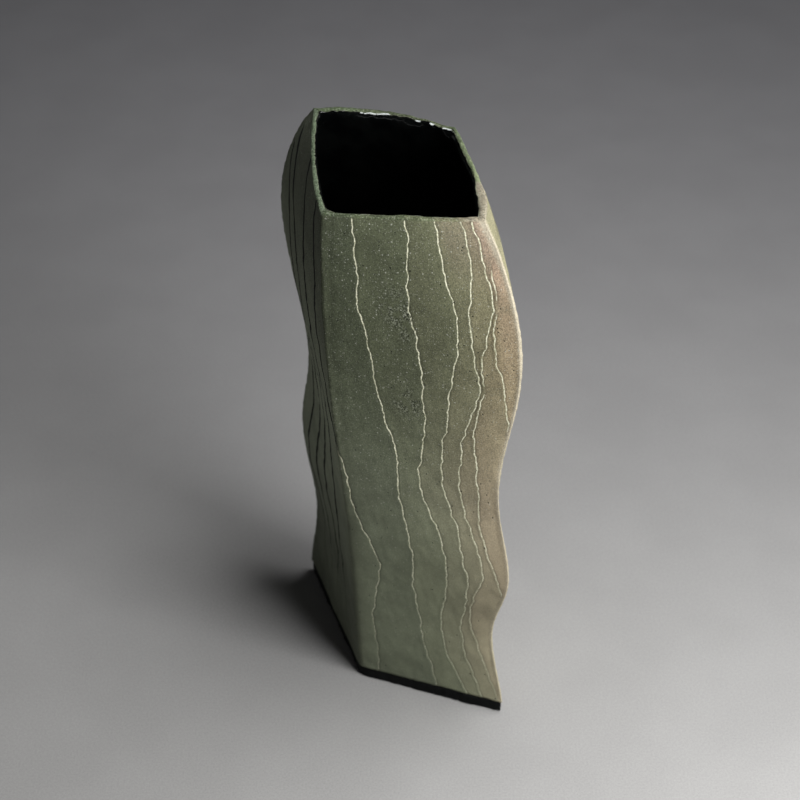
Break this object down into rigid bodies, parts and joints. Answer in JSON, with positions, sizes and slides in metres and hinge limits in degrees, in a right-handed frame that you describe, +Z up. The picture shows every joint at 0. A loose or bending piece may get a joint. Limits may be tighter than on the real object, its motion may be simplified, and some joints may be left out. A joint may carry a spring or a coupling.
{
  "type": "stoneware vase",
  "caption": "Tall slab-built stoneware vase of rhomboid plan with two wavy upright seams, a black base slab and a black glaze lining.",
  "frame": {"origin": "centre of the base slab's underside, on the surface the vase stands on", "axes": "+Z up through the open mouth, -Y towards the front panel, +X towards the right seam"},
  "size_m": [0.1242, 0.1451, 0.325],
  "materials": {
    "matte_slip": "matte, speckled, graded from dark green to tan",
    "dark_base_clay": "matte black",
    "bare_stoneware": "unglazed, hidden",
    "black_glaze": "glossy black"
  },
  "bodies": {
    "root": {"base_slab": "dark_base_clay", "front_slab": "matte_slip", "back_slab": "matte_slip", "seam_coil_right": "bare_stoneware", "seam_coil_left": "bare_stoneware", "floor_coil": "bare_stoneware", "glaze_lining": "black_glaze"}
  },
  "joints": []
}
